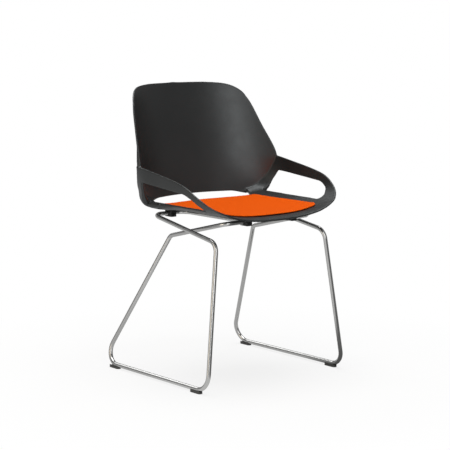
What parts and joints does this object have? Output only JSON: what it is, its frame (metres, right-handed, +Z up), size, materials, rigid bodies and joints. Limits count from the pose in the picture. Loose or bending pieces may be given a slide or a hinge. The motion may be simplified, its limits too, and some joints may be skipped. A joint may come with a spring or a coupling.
{
  "type": "sled base visitor chair",
  "caption": "Visitor chair with a moulded bucket shell, open arm loops, thin felt seat pad and bent round-rod sled legs that flex.",
  "frame": {"origin": "on the floor under the middle of the chair", "axes": "+Z up, the sitter faces -Y, +X is the sitter's left"},
  "size_m": [0.4964, 0.473, 0.7885],
  "materials": {
    "shell_plastic": "satin anthracite moulded plastic",
    "felt": "short dense orange wool felt",
    "hook_strip": "black hook and loop fastening",
    "chrome": "bright chrome plate on steel rod",
    "clamp_plastic": "black glass-filled nylon",
    "bush_polymer": "plain bearing polymer",
    "glide_plastic": "dark grey moulded nylon",
    "screw_steel": "zinc plated steel",
    "brass": "knurled brass, plain here"
  },
  "bodies": {
    "frame": {"left_sled_rod": "chrome", "right_sled_rod": "chrome", "glide_screws": "screw_steel", "front_left_glide": "glide_plastic", "front_right_glide": "glide_plastic", "rear_left_glide": "glide_plastic", "rear_right_glide": "glide_plastic"},
    "rear_arms": {"left_rear_arm": "chrome", "right_rear_arm": "chrome"},
    "front_arms": {"left_front_arm": "chrome", "right_front_arm": "chrome"},
    "seat": {"seat_shell": "shell_plastic", "seat_pad": "felt", "pad_fixing_strips": "hook_strip", "clamp_screws": "screw_steel", "threaded_inserts": "brass", "left_tie_rod": "chrome", "right_tie_rod": "chrome", "front_left_clamp_saddle": "clamp_plastic", "front_left_clamp_cap": "clamp_plastic", "front_left_bush": "bush_polymer", "front_right_clamp_saddle": "clamp_plastic", "front_right_clamp_cap": "clamp_plastic", "front_right_bush": "bush_polymer", "rear_left_clamp_saddle": "clamp_plastic", "rear_left_clamp_cap": "clamp_plastic", "rear_left_bush": "bush_polymer", "rear_right_clamp_saddle": "clamp_plastic", "rear_right_clamp_cap": "clamp_plastic", "rear_right_bush": "bush_polymer"}
  },
  "joints": [
    {"name": "rear_arm_flex", "type": "hinge", "parent": "frame", "child": "rear_arms", "pos_m": [0, -0.16014, 0.39986], "axis": [1, 0, 0], "range_deg": [-2.2, 2.2], "stiffness_Nm_per_rad": 900, "springref_deg": 0.25},
    {"name": "rear_clamp_pivot", "type": "hinge", "parent": "rear_arms", "child": "seat", "pos_m": [0, 0.082, 0.4395], "axis": [1, 0, 0], "range_deg": [-1.2, 1.2]},
    {"name": "front_arm_flex", "type": "hinge", "parent": "frame", "child": "front_arms", "pos_m": [0, 0.02631, 0.38761], "axis": [1, 0, 0], "range_deg": [-1.75, 1.75]}
  ],
  "couplings": [
    {"joint": "rear_clamp_pivot", "follows": "rear_arm_flex", "ratio": 0.5059},
    {"joint": "front_arm_flex", "follows": "rear_arm_flex", "ratio": 0.7639}
  ]
}
